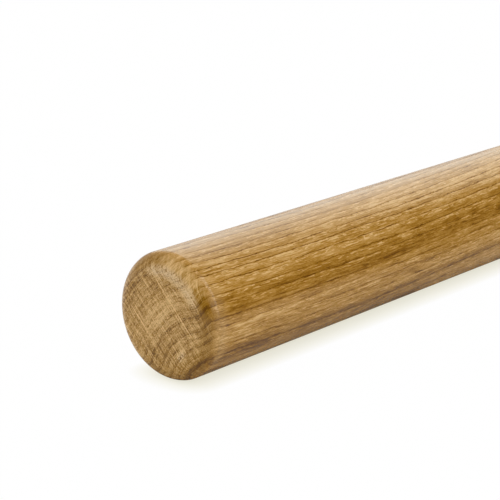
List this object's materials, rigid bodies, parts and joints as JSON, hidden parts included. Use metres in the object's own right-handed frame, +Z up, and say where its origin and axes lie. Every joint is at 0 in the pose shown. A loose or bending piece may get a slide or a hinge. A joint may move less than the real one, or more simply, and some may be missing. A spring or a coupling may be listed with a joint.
{
  "type": "round wooden stair handrail",
  "caption": "Straight round solid-oak stair handrail length with rounded-over ends and a clear finish; the hand grips it and wall brackets carry it.",
  "frame": {"origin": "on the floor, under the middle of the rail's length", "axes": "+X along the rail, +Z up; the rail's own axis runs parallel to X at half its diameter above the floor"},
  "size_m": [1, 0.0418, 0.042],
  "materials": {
    "oak": "solid oak under a clear satin lacquer, open pores, grain along the rail"
  },
  "bodies": {
    "root": {"handrail": "oak"}
  },
  "joints": []
}
